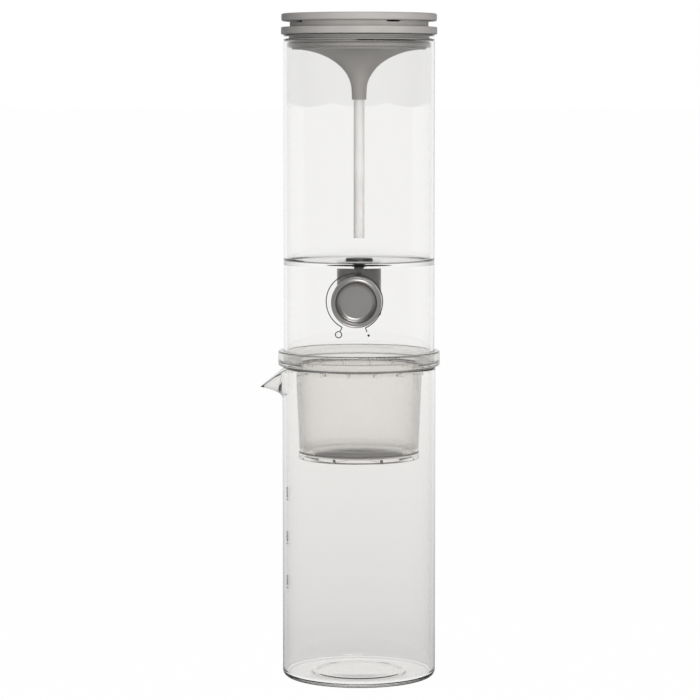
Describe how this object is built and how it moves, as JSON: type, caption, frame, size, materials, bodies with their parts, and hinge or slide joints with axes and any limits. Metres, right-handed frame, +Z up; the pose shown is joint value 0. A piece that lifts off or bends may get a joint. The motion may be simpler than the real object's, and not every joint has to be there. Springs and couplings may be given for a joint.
{
  "type": "cold brew coffee maker",
  "caption": "Slow-drip coffee tower: clear water tank with a knob-set drip valve, over a filter cup, over a spouted glass carafe.",
  "frame": {"origin": "middle of the carafe's underside, on the table", "axes": "+Z up the tower, -Y towards the knob, -X towards the spout"},
  "size_m": [0.1056, 0.1054, 0.3896],
  "materials": {
    "carafe_glass": "clear borosilicate glass, polished",
    "tank_glass": "clear borosilicate glass, polished",
    "cup_plastic": "clear, faintly grey moulded copolyester, polished",
    "frosted_tube": "translucent extruded tube",
    "lid_plastic": "warm grey moulded plastic, fine satin",
    "silicone": "warm grey silicone, slightly glossy",
    "clear_silicone": "translucent silicone",
    "valve_metal": "turned and polished stainless steel",
    "knob_metal": "fine-knurled satin anodised aluminium",
    "face_metal": "bead-blasted, lightly brushed dish",
    "filter_steel": "etched stainless steel",
    "seat_plastic": "white fluoropolymer",
    "print_ink": "dark screen-printed ceramic ink"
  },
  "bodies": {
    "carafe": {"carafe_glass": "carafe_glass", "volume_marks": "print_ink"},
    "cup": {"cup_seal": "clear_silicone", "cup_body": "cup_plastic", "cup_base_ring": "cup_plastic", "filter_mesh": "filter_steel", "base_gasket": "clear_silicone"},
    "tank": {"tank_body": "tank_glass", "inlet_strainer": "filter_steel", "dial_print": "print_ink", "valve_body": "valve_metal", "valve_seal": "silicone", "valve_seat": "seat_plastic", "bonnet": "valve_metal", "bonnet_washer": "silicone", "stem_packing": "silicone", "drip_nozzle": "valve_metal", "nozzle_washer": "silicone", "wall_bush": "knob_metal", "wall_nut": "knob_metal"},
    "knob": {"stem": "valve_metal", "stem_circlip": "filter_steel", "knob_grip": "knob_metal", "knob_face": "face_metal", "knob_screw": "valve_metal"},
    "needle": {"needle": "valve_metal"},
    "lid": {"lid_body": "lid_plastic", "lid_cap": "lid_plastic", "lid_gasket": "silicone", "air_tube": "frosted_tube"}
  },
  "joints": [
    {"name": "cup_lift", "type": "slide", "parent": "carafe", "child": "cup", "axis": [0, 0, 1], "range_m": [0, 0.06]},
    {"name": "tank_lift", "type": "slide", "parent": "cup", "child": "tank", "axis": [0, 0, 1], "range_m": [0, 0.04]},
    {"name": "lid_lift", "type": "slide", "parent": "tank", "child": "lid", "axis": [0, 0, 1], "range_m": [0, 0.13]},
    {"name": "knob_turn", "type": "hinge", "parent": "tank", "child": "knob", "pos_m": [0, -0.05, 0.2249], "axis": [0, -1, 0], "range_deg": [0, 300]},
    {"name": "needle_travel", "type": "slide", "parent": "knob", "child": "needle", "axis": [0, -1, 0], "range_m": [0, 0.00085]}
  ],
  "couplings": [
    {"joint": "needle_travel", "follows": "knob_turn", "m_per_rad": 0.00015915}
  ]
}
